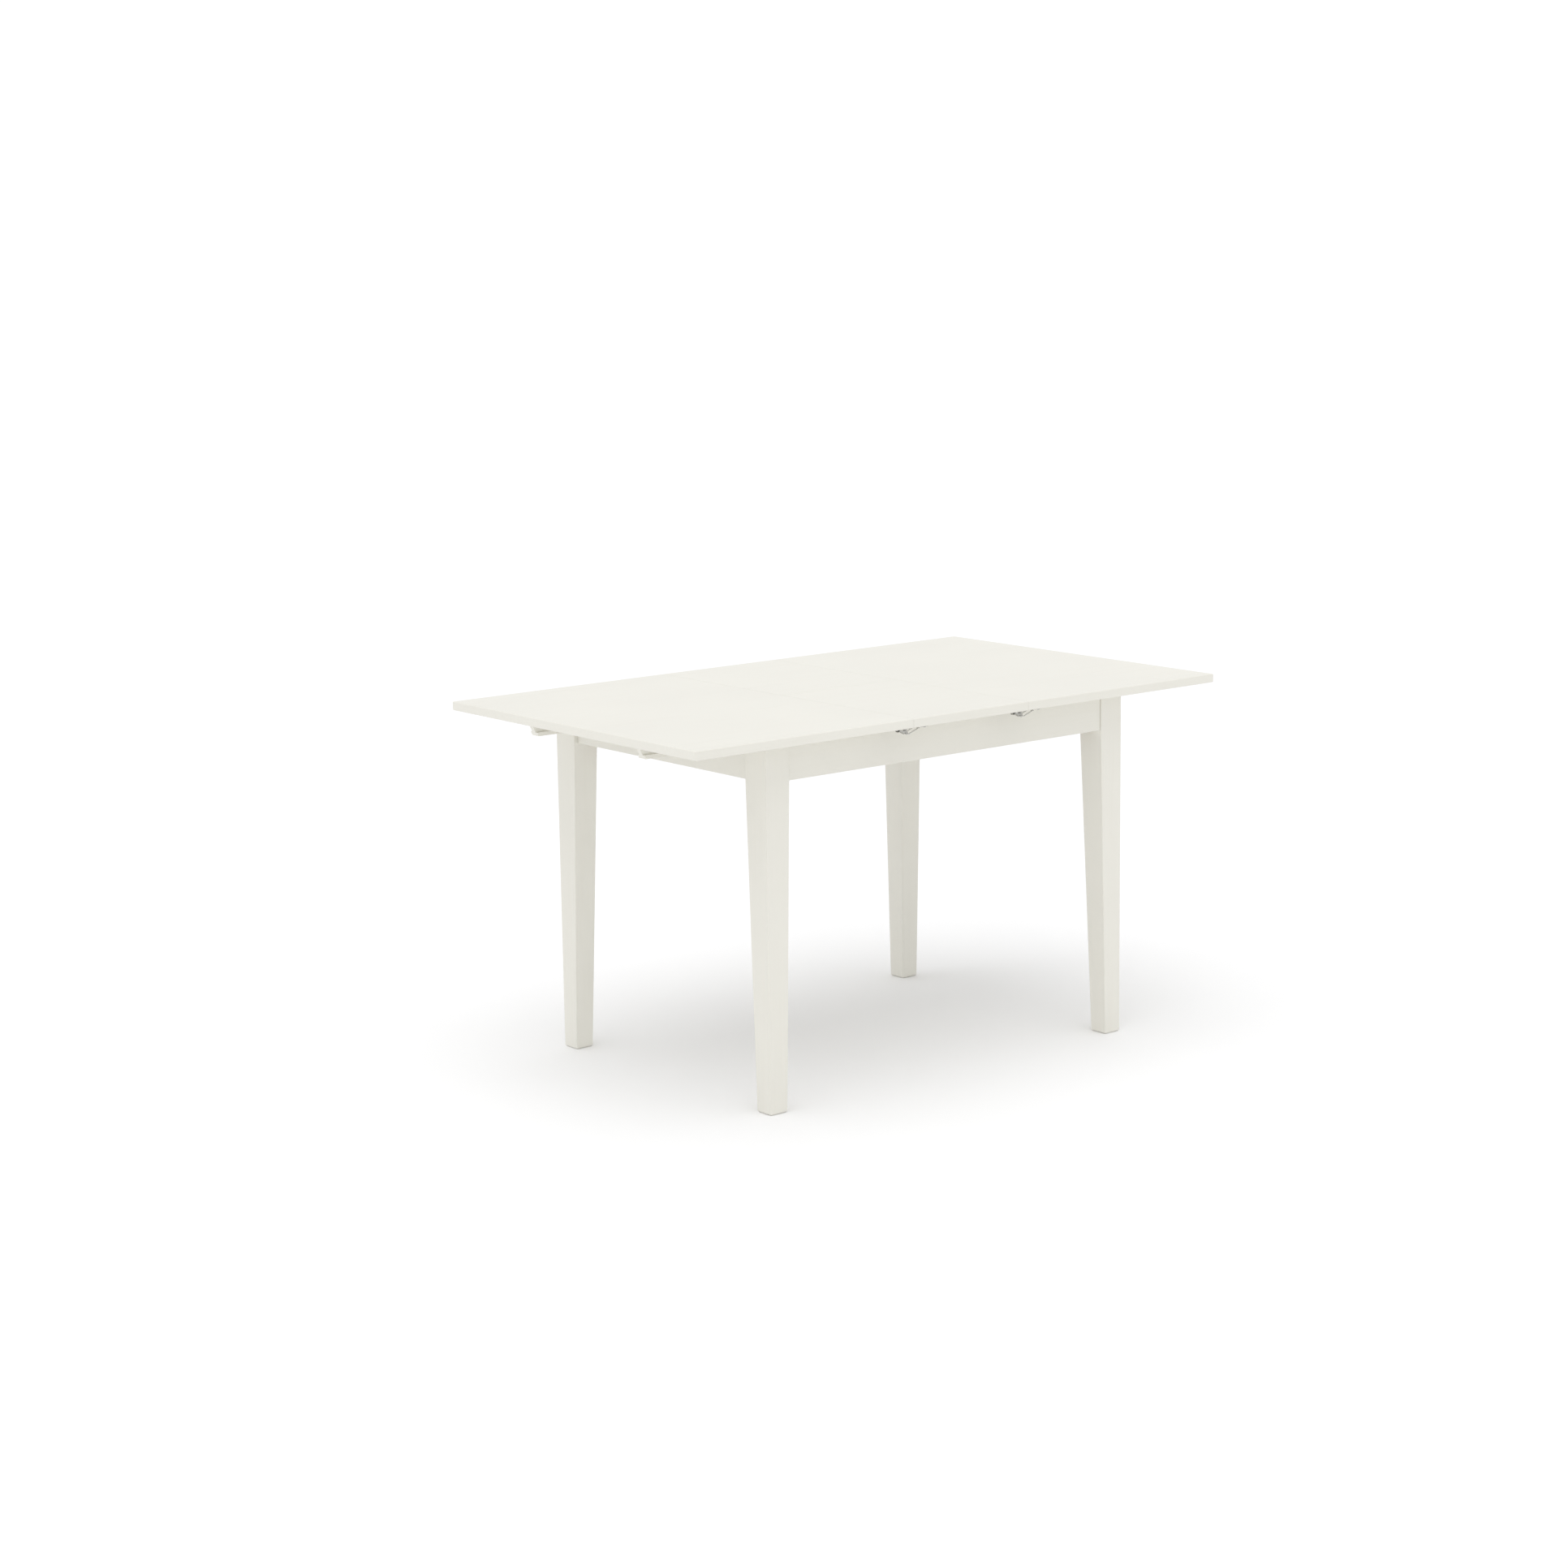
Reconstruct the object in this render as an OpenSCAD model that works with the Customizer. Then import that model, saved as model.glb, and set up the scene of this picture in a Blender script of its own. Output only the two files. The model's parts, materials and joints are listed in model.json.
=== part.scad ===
// Extending dining table with a self-storing butterfly leaf, drawn with the leaf in place.
// X runs along the table, Y across it with the front at -Y, and Z up.
// The origin is on the floor, below the centre of the top.
// Both halves of the top carry runners that slide in notches in the frame. The leaf is in two
// wings, hinged to each other, which fold up like a book while the front wing tilts on its pins.

/* [Top] */
// Length of the table with the leaf in place
top_length = 1372; // [1350:1:1400]
// Width of the table
top_width = 813; // [800:1:840]
// Height of the table
table_height = 750; // [720:1:780]
// Thickness of the top and the leaf
top_thickness = 18; // [17:1:22]
// Length of the leaf along the table
leaf_length = 305; // [300:1:306]
// Gap between the leaf and each half of the top
seam_gap = 0.4; // [0.3:0.1:0.8]
// Easing along the outer edges of the top
edge_easing = 1.2; // [0.5:0.1:2]

/* [Frame] */
// Length over the legs
frame_length = 948; // [940:1:970]
// Width over the legs
frame_width = 692; // [680:1:710]
// Side of a leg beside the aprons, along the table
leg_head = 58; // [56:1:62]
// Side of a leg beside the aprons, across the table
leg_head_across = 63; // [58:1:65]
// Side of a leg at the floor
leg_foot = 42; // [36:1:50]
// Chamfer round the foot of a leg
foot_chamfer = 2.5; // [1:0.5:4]
// Height of the aprons
apron_height = 78; // [76:1:100]
// Thickness of the aprons
apron_thickness = 20; // [18:1:22]
// Step from a leg's face back to the front or back apron's face
apron_recess = 3; // [2:1:5]
// Step from a leg's face back to an end apron's face
end_apron_recess = 9; // [3:1:10]
// Gap between the frame and the sliding top
slide_gap = 1; // [0.5:0.1:1.5]

/* [Crossbars] */
// Distance from the centre to a crossbar's face, which sets the leaf well
well_half = 158; // [158:1:162]
// Thickness of a crossbar
crossbar_thickness = 22; // [20:1:26]
// Height of a crossbar
crossbar_height = 62; // [58:1:70]

/* [Runners] */
// Distance between the centres of one half's two runners
runner_spread = 358; // [350:1:370]
// Height of a runner
runner_height = 30; // [28:1:32]
// Width of a runner's lower flange
flange_width = 22; // [20:1:26]
// Height of a runner's lower flange
flange_height = 8; // [6:1:10]
// Width of a runner's upright web
web_width = 12; // [10:1:14]
// Distance from the end of the top to a runner's lower corner
runner_setback = 46; // [40:1:60]
// Length of the bevel on a runner's outer end
runner_bevel = 14; // [6:1:20]
// How far each half pulls out past the leaf
pull_out = 20; // [5:1:20]

/* [Leaf mechanism] */
// Distance from the leaf's fold to its pivot pins
pivot_offset = 100; // [95:1:110]
// Depth of the pivot pins below the top surface
pivot_depth = 35; // [34:1:38]
// Radius of a pivot pin
pivot_radius = 4; // [3:0.5:5]
// Height of the fold's axis above the top surface
fold_lift = 0.3; // [0.2:0.1:0.5]
// Distance between the two leaf hinges
hinge_spread = 200; // [160:1:230]

/* [Table locks] */
// Distance from the table's edge to the middle of a lock
lock_setback = 15; // [14:1:20]
// Radius of the bail's wire
wire_radius = 1; // [0.8:0.1:1]
// Distance from a seam to a lock's outer plate ends
lock_reach = 42; // [41:1:44]

/* [Hidden] */
$fn = 48;

// Signs for the ends and sides of the table
LEFT = -1;
RIGHT = 1;
FRONT = -1;
BACK = 1;
ENDS = [LEFT, RIGHT];
SIDES = [FRONT, BACK];

// Clearances: a fixed pin or screw in its hole, a sliding runner, and cuts past a face
hole_play = 0.05;
runner_play = 0.5;
cut = 1;

// Levels
underside = table_height - top_thickness;
frame_top = underside - slide_gap;
apron_bottom = frame_top - apron_height;
runner_bottom = underside - runner_height;

// Plan of the frame
half_length = frame_length / 2;
half_width = frame_width / 2;
end_apron_inside = half_length - end_apron_recess - apron_thickness;
side_apron_inside = half_width - apron_recess - apron_thickness;
side_apron_middle = apron_recess + apron_thickness / 2;
end_apron_middle = end_apron_recess + apron_thickness / 2;

// Dowels between aprons and legs
dowel_radius = 4;
dowel_length = 40;
dowel_levels = [apron_bottom + 20, apron_bottom + 60];

// Corner blocks and the hanger bolts that hold the legs
block_gap = 6;
block_side = 34;
block_bottom = apron_bottom + 15;
block_height = 50;
bolt_radius = 4;
bolt_in_leg = 32;
bolt_past_block = 13;
bolt_levels = [block_bottom + 12, block_bottom + 38];
washer_radius = 9;
washer_thickness = 1.6;
nut_radius = 7.5;
nut_thickness = 6.5;
block_to_side = leg_head_across - apron_recess - apron_thickness;
block_to_end = leg_head - end_apron_recess - apron_thickness;
block_outer = block_gap;
block_inner = block_gap + block_side;
block_face_distance = block_inner / sqrt(2);
block_screw_at = (block_outer + block_inner) / 2;
block_screw_level = block_bottom + block_height / 2;

// Crossbars, their brackets and the bushes for the leaf's pins
crossbar_outside = well_half + crossbar_thickness;
crossbar_dado = 6;
bracket_leg = 25;
bracket_height = 24;
bracket_thickness = 2;
bracket_level = apron_bottom + 42;
bracket_hole_at = 15;
pivot_level = table_height - pivot_depth;
bush_wall = 2;
bush_length = 14;
bush_flange_radius = 9;
bush_flange = 1.5;
bush_play = 0.05;

// Wood screws as [length, shank radius, head radius]
runner_screw = [42, 2.2, 4.2];
frame_screw = [26, 2, 4];
bracket_screw = [14, 1.8, 3.4];
lock_screw = [13, 1.5, 3];

// Screw heads: the cross recess as a share of the head's radius, and the pan head
recess_span = 1.1;
recess_width = 0.8;
pan_head_height = 1.8;
pan_head_crown = 0.7;

// Runners and their stops
runner_past_crossbar = 3;
runner_inner = well_half - runner_past_crossbar;
runner_outer = top_length / 2 - runner_setback;
runner_screw_places = [205, 338, 471, 604];
stop_length = 22;
stop_height = 12;
stop_play = 0.3;

// Leaf pivot plates
plate_thickness = 2;
plate_inner = 118;
plate_outer = 149;
plate_half_width = 25;
plate_drop = 26;
pin_in_bush = 12;
pin_end = well_half + pin_in_bush;
plate_screw_places = [126, 140];
plate_screw_y = 17;

// Leaf hinges: a barrel let into each wing, and a curved link round the fold's axis
barrel_radius = 7;
barrel_depth = 16;
barrel_drop = 9;
fold_gap = 0.2;
link_inner = 5.6;
link_outer = 11.4;
link_width = 4;
link_half_angle = 46;
link_play = 0.4;
slot_before = 10;
slot_past = 4;

// Table locks, measured from the seam along X and down from the underside
lock_y = top_width / 2 - lock_setback;
lock_plate_half = 9;
lock_sheet = 1.6;
lock_plate_end = -5;
lock_screw_x = 36;
lock_screw_y = 5;
lever_pivot = [-10, -10];
lever_tip = [-26, -4.4];
lever_lug = 3.4;
lever_tip_radius = 1.4;
lever_half = 4.8;
lever_sheet = 1.2;
lever_web_from = 4.8;
lever_shoulder = 0.2;
finger_length = 5;
finger_half = 4.4;
finger_turn = -155;
ear_half = 3.3;
ear_sheet = 1.4;
ear_lug = 2.2;
lock_pin_radius = 1.1;
bail_pivot = [-13.6, -10.2];
bail_bend = [-6, -11.8];
bail_hook = [20.5, -2.4];
bail_half = 6.8;
wire_sides = 12;
wire_skin = 0.03;
bend_length = 1.2;
bail_end_held = 3.7;
bail_end_free = 5.5;
keeper_tongue = 22.4;
keeper_plate_from = 24;
keeper_depth = 4.6;
keeper_half = 3.5;
keeper_curl = 3.2;
keeper_root = 0.1;

// ---------------------------------------------------------------- placing

// Leg corner: origin at a leg's outer corner, X and Y running into the frame.
module at_corner(end, side) {
    translate([end * half_length, side * half_width, 0])
        mirror([end > 0 ? 1 : 0, 0, 0])
            mirror([0, side > 0 ? 1 : 0, 0])
                children();
}

// Right-hand end as drawn, left-hand end mirrored.
module at_end(end) {
    mirror([end < 0 ? 1 : 0, 0, 0]) children();
}

// Back as drawn, front mirrored.
module at_side(side) {
    mirror([0, side < 0 ? 1 : 0, 0]) children();
}

// Lock: origin on the underside at a seam, in the middle of the lock.
module at_lock(end, side) {
    translate([end * leaf_length / 2, side * lock_y, underside]) children();
}

// ---------------------------------------------------------------- fasteners

// Countersunk wood screw with its head at the origin and its point up.
module screw(size) {
    head_height = size[2] - size[1];
    difference() {
        union() {
            cylinder(h = head_height, r1 = size[2], r2 = size[1]);
            cylinder(h = size[0], r = size[1]);
        }
        cross_recess(size[2] * recess_span, cut + head_height / 2);
    }
}

// Cross recess: two slots that start above the head and sink into it by what is left of depth.
module cross_recess(span, depth) {
    for (turn = [0, 90])
        rotate([0, 0, turn])
            translate([-span / 2, -recess_width / 2, -cut])
                cube([span, recess_width, depth]);
}

module screw_hole(size) {
    head_height = size[2] - size[1];
    cylinder(h = head_height, r1 = size[2] + hole_play, r2 = size[1] + hole_play);
    cylinder(h = size[0] + hole_play, r = size[1] + hole_play);
    translate([0, 0, -cut]) cylinder(h = cut, r = size[2] + hole_play);
}

// Pan-head screw: the head hangs below the origin.
module pan_screw(size) {
    head = pan_head_height;
    difference() {
        union() {
            translate([0, 0, -head])
                cylinder(h = head / 2, r1 = size[2] * pan_head_crown, r2 = size[2]);
            translate([0, 0, -head / 2]) cylinder(h = head / 2, r = size[2]);
            cylinder(h = size[0], r = size[1]);
        }
        translate([0, 0, -head]) cross_recess(size[2] * recess_span, cut + head / 2);
    }
}

module pan_screw_hole(size) {
    translate([0, 0, -cut]) cylinder(h = size[0] + cut + hole_play, r = size[1] + hole_play);
}

// ---------------------------------------------------------------- legs and aprons

module leg_outline(head) {
    polygon([
        [foot_chamfer, 0], [leg_foot - foot_chamfer, 0], [leg_foot, foot_chamfer],
        [head, apron_bottom], [head, frame_top], [0, frame_top], [0, foot_chamfer],
    ]);
}

// Only the two faces inside the frame taper.
module leg(end, side) {
    color("linen")
    at_corner(end, side)
    difference() {
        intersection() {
            translate([0, leg_head_across, 0])
                rotate([90, 0, 0]) linear_extrude(leg_head_across) leg_outline(leg_head);
            rotate([90, 0, 90]) linear_extrude(leg_head) leg_outline(leg_head_across);
        }
        leg_bolt_places() bolt_shank(hole_play);
        dowel_places() dowel(hole_play);
    }
}

// Hanger bolts run through the leg's inner corner, across the corner block.
module leg_bolt_places() {
    for (level = bolt_levels)
        translate([leg_head, leg_head_across, level])
            rotate([0, 0, 45])
                rotate([0, 90, 0])
                    children();
}

module bolt_shank(play) {
    translate([0, 0, -bolt_in_leg - play])
        cylinder(h = bolt_in_leg + block_face_distance + bolt_past_block + play,
                 r = bolt_radius + play);
}

// Dowels into one leg, from the side apron and from the end apron.
module dowel_places() {
    for (level = dowel_levels) {
        translate([leg_head, side_apron_middle, level]) rotate([0, 90, 0]) children();
        translate([end_apron_middle, leg_head_across, level]) rotate([-90, 0, 0]) children();
    }
}

module dowel(play) {
    translate([0, 0, -dowel_length / 2 - play])
        cylinder(h = dowel_length + 2 * play, r = dowel_radius + play);
}

module apron_dowels() {
    color("burlywood")
    for (end = ENDS, side = SIDES)
        at_corner(end, side) dowel_places() dowel(0);
}

module side_apron(side) {
    apron_length = frame_length - 2 * leg_head;
    color("linen")
    difference() {
        at_side(side)
            translate([-apron_length / 2, side_apron_inside, apron_bottom])
                cube([apron_length, apron_thickness, apron_height]);
        for (end = ENDS) {
            at_corner(end, side) {
                dowel_places() dowel(hole_play);
                block_screw_places() screw_hole(frame_screw);
            }
            at_bracket(end, side) apron_bracket_screw_place() screw_hole(bracket_screw);
            crossbar_blank(end);
        }
    }
}

module end_apron(end) {
    apron_length = frame_width - 2 * leg_head_across;
    color("linen")
    difference() {
        at_end(end)
            translate([end_apron_inside, -apron_length / 2, apron_bottom])
                cube([apron_thickness, apron_length, apron_height]);
        for (side = SIDES) {
            at_corner(end, side) {
                dowel_places() dowel(hole_play);
                block_screw_places() screw_hole(frame_screw);
            }
            runner_notch(side);
        }
    }
}

// ---------------------------------------------------------------- corner blocks

module corner_block(end, side) {
    color("burlywood")
    at_corner(end, side)
    difference() {
        translate([leg_head, leg_head_across, block_bottom])
            linear_extrude(block_height)
                polygon([
                    [block_outer + block_to_side, -block_to_side],
                    [block_inner + block_to_side, -block_to_side],
                    [-block_to_end, block_inner + block_to_end],
                    [-block_to_end, block_outer + block_to_end],
                ]);
        leg_bolt_places() bolt_shank(hole_play);
        block_screw_places() {
            screw_hole(frame_screw);
            translate([0, 0, -block_side]) cylinder(h = block_side, r = frame_screw[2] + hole_play);
        }
    }
}

// One screw through the block into each of the two aprons.
module block_screw_places() {
    depth_in_block = 12;
    translate([leg_head + block_to_side + block_screw_at,
               leg_head_across - block_to_side + depth_in_block, block_screw_level])
        rotate([90, 0, 0]) children();
    translate([leg_head - block_to_end + depth_in_block,
               leg_head_across + block_to_end + block_screw_at, block_screw_level])
        rotate([0, -90, 0]) children();
}

module leg_bolts() {
    color("silver")
    for (end = ENDS, side = SIDES)
        at_corner(end, side) leg_bolt_places() bolt_shank(0);
}

module leg_bolt_washers() {
    color("silver")
    for (end = ENDS, side = SIDES)
        at_corner(end, side) leg_bolt_places()
            translate([0, 0, block_face_distance])
                difference() {
                    cylinder(h = washer_thickness, r = washer_radius);
                    translate([0, 0, -cut])
                        cylinder(h = washer_thickness + 2 * cut, r = bolt_radius + hole_play);
                }
}

module leg_bolt_nuts() {
    color("silver")
    for (end = ENDS, side = SIDES)
        at_corner(end, side) leg_bolt_places()
            translate([0, 0, block_face_distance + washer_thickness])
                difference() {
                    cylinder(h = nut_thickness, r = nut_radius, $fn = 6);
                    translate([0, 0, -cut])
                        cylinder(h = nut_thickness + 2 * cut, r = bolt_radius + hole_play);
                }
}

// Screws that hold the corner blocks and the crossbar brackets.
module frame_screws() {
    color("silver")
    for (end = ENDS, side = SIDES) {
        at_corner(end, side) block_screw_places() screw(frame_screw);
        at_bracket(end, side) {
            apron_bracket_screw_place() screw(bracket_screw);
            crossbar_bracket_screw_place() screw(bracket_screw);
        }
    }
}

// ---------------------------------------------------------------- crossbars

module crossbar_blank(end) {
    crossbar_length = 2 * (side_apron_inside + crossbar_dado);
    at_end(end)
        translate([well_half, -crossbar_length / 2, frame_top - crossbar_height])
            cube([crossbar_thickness, crossbar_length, crossbar_height + cut]);
}

module crossbar(end) {
    color("linen")
    difference() {
        crossbar_blank(end);
        translate([-half_length, -half_width, frame_top])
            cube([frame_length, frame_width, 2 * cut]);
        for (side = SIDES) {
            runner_notch(side);
            at_bracket(end, side) crossbar_bracket_screw_place() screw_hole(bracket_screw);
        }
        at_end(end)
            translate([well_half - cut, -pivot_offset, pivot_level])
                rotate([0, 90, 0])
                    cylinder(h = bush_length + cut + hole_play,
                             r = pivot_radius + bush_wall + hole_play);
    }
}

// T-shaped notch, open at the top, in which a runner slides.
module runner_notch(side) {
    flange_cut = flange_width + 2 * runner_play;
    web_cut = web_width + 2 * runner_play;
    at_side(side) {
        translate([-half_length, (runner_spread - flange_cut) / 2, runner_bottom - runner_play])
            cube([frame_length, flange_cut, flange_height + 2 * runner_play]);
        translate([-half_length, (runner_spread - web_cut) / 2, runner_bottom])
            cube([frame_length, web_cut, runner_height + cut]);
    }
}

// Bracket corner: origin where a crossbar's outer face meets an apron's inner face.
module at_bracket(end, side) {
    at_end(end)
        translate([crossbar_outside, side * side_apron_inside, bracket_level])
            mirror([0, side > 0 ? 1 : 0, 0])
                children();
}

module crossbar_bracket_screw_place() {
    translate([bracket_thickness, bracket_hole_at, 0]) rotate([0, -90, 0]) children();
}

module apron_bracket_screw_place() {
    translate([bracket_hole_at, bracket_thickness, 0]) rotate([90, 0, 0]) children();
}

module crossbar_brackets() {
    color("silver")
    for (end = ENDS, side = SIDES)
        at_bracket(end, side)
            difference() {
                translate([0, 0, -bracket_height / 2])
                    linear_extrude(bracket_height)
                        polygon([
                            [0, 0], [bracket_leg, 0], [bracket_leg, bracket_thickness],
                            [bracket_thickness, bracket_thickness],
                            [bracket_thickness, bracket_leg], [0, bracket_leg],
                        ]);
                crossbar_bracket_screw_place() screw_hole(bracket_screw);
                apron_bracket_screw_place() screw_hole(bracket_screw);
            }
}

module pivot_bush(end) {
    color("ivory")
    at_end(end)
        translate([well_half, -pivot_offset, pivot_level])
            rotate([0, 90, 0])
                difference() {
                    union() {
                        cylinder(h = bush_length, r = pivot_radius + bush_wall);
                        translate([0, 0, -bush_flange])
                            cylinder(h = bush_flange, r = bush_flange_radius);
                    }
                    translate([0, 0, -bush_flange - cut])
                        cylinder(h = bush_length + bush_flange + 2 * cut,
                                 r = pivot_radius + bush_play);
                }
}

// ---------------------------------------------------------------- halves of the top

// Slab from the seam to the end, with its outer upper and lower edges eased.
module eased_slab(from, to, half) {
    e = edge_easing;
    t = top_thickness;
    translate([0, 0, underside])
    intersection() {
        translate([0, half, 0])
            rotate([90, 0, 0])
                linear_extrude(2 * half)
                    polygon([[from, 0], [to - e, 0], [to, e], [to, t - e], [to - e, t], [from, t]]);
        translate([from, 0, 0])
            rotate([90, 0, 90])
                linear_extrude(to - from)
                    polygon([
                        [-half + e, 0], [half - e, 0], [half, e], [half, t - e],
                        [half - e, t], [-half + e, t], [-half, t - e], [-half, e],
                    ]);
    }
}

module top_half(end) {
    color("linen")
    difference() {
        at_end(end) eased_slab(leaf_length / 2 + seam_gap, top_length / 2, top_width / 2);
        for (side = SIDES) {
            runner_screw_places(end, side) screw_hole(runner_screw);
            at_lock(end, side) lock_screw_places(end) pan_screw_hole(lock_screw);
        }
    }
}

// T-section runner with a bevelled outer end.
module runner(end, side) {
    half_flange = flange_width / 2;
    half_web = web_width / 2;
    color("linen")
    difference() {
        at_end(end) at_side(side)
        intersection() {
            translate([0, runner_spread / 2, runner_bottom])
                rotate([90, 0, 90])
                    linear_extrude(top_length)
                        polygon([
                            [-half_flange, 0], [half_flange, 0], [half_flange, flange_height],
                            [half_web, flange_height], [half_web, runner_height],
                            [-half_web, runner_height], [-half_web, flange_height],
                            [-half_flange, flange_height],
                        ]);
            translate([0, top_width, runner_bottom])
                rotate([90, 0, 0])
                    linear_extrude(2 * top_width)
                        polygon([
                            [runner_inner, 0], [runner_outer, 0],
                            [runner_outer + runner_bevel, runner_height],
                            [runner_inner, runner_height],
                        ]);
        }
        runner_screw_places(end, side) screw_hole(runner_screw);
    }
}

module runner_screw_places(end, side) {
    for (place = runner_screw_places)
        translate([end * place, side * runner_spread / 2, runner_bottom]) children();
}

module runner_screws(end) {
    color("silver")
    for (side = SIDES)
        runner_screw_places(end, side) screw(runner_screw);
}

// Blocks under the runners that meet the end apron when a half is pulled right out.
module stop_blocks(end) {
    stop_face = end_apron_inside - pull_out - stop_play;
    color("linen")
    for (side = SIDES)
        at_end(end)
            translate([stop_face - stop_length, (side * runner_spread - flange_width) / 2,
                       runner_bottom - stop_height])
                cube([stop_length, flange_width, stop_height]);
}

// ---------------------------------------------------------------- leaf

// One wing of the leaf, from the fold to the table's edge.
module wing(side) {
    e = edge_easing;
    t = top_thickness;
    half = top_width / 2;
    at_side(side)
    difference() {
        translate([-leaf_length / 2, 0, underside])
            rotate([90, 0, 90])
                linear_extrude(leaf_length)
                    polygon([
                        [fold_gap, 0], [half - e, 0], [half, e], [half, t - e],
                        [half - e, t], [fold_gap, t],
                    ]);
        hinge_places() hinge_barrel_blank(hole_play);
    }
}

module leaf_front() {
    color("linen")
    difference() {
        wing(FRONT);
        for (end = ENDS) {
            at_lock(end, FRONT) lock_screw_places(-end) pan_screw_hole(lock_screw);
            pivot_plate_screw_places(end) screw_hole(bracket_screw);
        }
    }
}

module leaf_back() {
    color("linen")
    difference() {
        wing(BACK);
        for (end = ENDS)
            at_lock(end, BACK) lock_screw_places(-end) pan_screw_hole(lock_screw);
    }
}

// Hinge places: origin on the top surface at the fold, X along the fold.
module hinge_places() {
    for (end = ENDS)
        translate([end * hinge_spread / 2, 0, table_height]) children();
}

module hinge_barrel_blank(play) {
    translate([0, fold_gap, -barrel_drop])
        rotate([-90, 0, 0])
            cylinder(h = barrel_depth + play, r = barrel_radius + play);
}

// Arc round the fold's axis, from one angle past straight down to another.
module fold_arc(from, to, inner, outer, width) {
    translate([0, 0, fold_lift])
        rotate([0, 90, 0])
            rotate([0, 0, from])
                rotate_extrude(angle = to - from)
                    translate([inner, -width / 2])
                        square([outer - inner, width]);
}

// Front barrels carry the curved links.
module leaf_hinge_front() {
    color("goldenrod")
    hinge_places()
    union() {
        mirror([0, 1, 0]) hinge_barrel_blank(0);
        fold_arc(-link_half_angle, link_half_angle, link_inner, link_outer, link_width);
    }
}

// Back barrels are slotted, and turn round the links.
module leaf_hinge_back() {
    color("goldenrod")
    hinge_places()
    difference() {
        hinge_barrel_blank(0);
        fold_arc(-slot_before, link_half_angle + slot_past, link_inner - link_play,
                 link_outer + link_play, link_width + 2 * link_play);
    }
}

// Angle plate under the front wing, with the pin on which the leaf tilts.
module pivot_plate(end) {
    pin_start = plate_outer - plate_thickness;
    color("silver")
    difference() {
        at_end(end) {
            translate([plate_inner, -pivot_offset - plate_half_width, underside - plate_thickness])
                cube([plate_outer - plate_inner, 2 * plate_half_width, plate_thickness]);
            translate([pin_start, -pivot_offset, 0])
                rotate([90, 0, 90])
                    linear_extrude(plate_thickness)
                        polygon([
                            [-plate_half_width, underside], [plate_half_width, underside],
                            [plate_half_width / 2, underside - plate_drop],
                            [-plate_half_width / 2, underside - plate_drop],
                        ]);
            translate([pin_start, -pivot_offset, pivot_level])
                rotate([0, 90, 0])
                    cylinder(h = pin_end - pin_start, r = pivot_radius);
        }
        pivot_plate_screw_places(end) screw_hole(bracket_screw);
    }
}

module pivot_plate_screw_places(end) {
    for (place = plate_screw_places, side = SIDES)
        translate([end * place, -pivot_offset + side * plate_screw_y, underside - plate_thickness])
            children();
}

module pivot_plate_screws() {
    color("silver")
    for (end = ENDS)
        pivot_plate_screw_places(end) screw(bracket_screw);
}

// ---------------------------------------------------------------- table locks

// The two screws on one side of the seam.
module lock_screw_places(way) {
    for (side = SIDES)
        translate([way * lock_screw_x, side * lock_screw_y, -lock_sheet]) children();
}

module lock_screws_at(end, side, way) {
    at_lock(end, side) lock_screw_places(way) pan_screw(lock_screw);
}

// Thin shape drawn in X and Z, centred on Y or standing between two Y values.
module upright(from, to) {
    translate([0, to, 0]) rotate([90, 0, 0]) linear_extrude(to - from) children();
}

// Base plate with two ears for the lever's pin.
module lock_plate() {
    neck = 2 * ear_lug;
    difference() {
        union() {
            translate([-lock_reach, -lock_plate_half, -lock_sheet])
                cube([lock_reach + lock_plate_end, 2 * lock_plate_half, lock_sheet]);
            for (side = SIDES)
                at_side(side)
                    upright(ear_half - ear_sheet, ear_half) {
                        translate(lever_pivot) circle(r = ear_lug);
                        translate([lever_pivot[0] - neck / 2, lever_pivot[1]])
                            square([neck, -lever_pivot[1] - lock_sheet / 2]);
                    }
        }
        lock_pin(lock_pin_radius + hole_play);
        lock_screw_places(-1) pan_screw_hole(lock_screw);
    }
}

module lock_pin(radius) {
    translate([lever_pivot[0], lever_half, lever_pivot[1]])
        rotate([90, 0, 0])
            cylinder(h = 2 * lever_half, r = radius);
}

// Point beside the lever's centre line: along from its pivot, and out on its lower side.
function beside_lever(along, out) =
    let (run = lever_tip - lever_pivot, way = run / norm(run))
    lever_pivot + along * way + out * [-way[1], way[0]];

// Half the height of the lever's bar, along from its pivot.
function lever_bar(along) =
    let (share = along / norm(lever_tip - lever_pivot))
    (1 - share) * lever_lug + share * lever_tip_radius - lever_shoulder;

// Side outline of the lever: a bar that narrows from its pivot lug to its tip.
module lever_outline() {
    far = norm(lever_tip - lever_pivot);
    polygon([
        beside_lever(0, lever_bar(0)), beside_lever(far, lever_bar(far)),
        beside_lever(far, -lever_bar(far)), beside_lever(0, -lever_bar(0)),
    ]);
    translate(lever_pivot) circle(r = lever_lug);
    translate(lever_tip) circle(r = lever_tip_radius);
}

// Section of the web that joins the lever's two sides along their lower edges.
module lever_web() {
    near = lever_web_from;
    far = norm(lever_tip - lever_pivot);
    polygon([
        beside_lever(near, lever_bar(near) - lever_shoulder),
        beside_lever(far, lever_bar(far) - lever_shoulder),
        beside_lever(far, lever_bar(far) - lever_shoulder - lever_sheet),
        beside_lever(near, lever_bar(near) - lever_shoulder - lever_sheet),
    ]);
}

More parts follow.
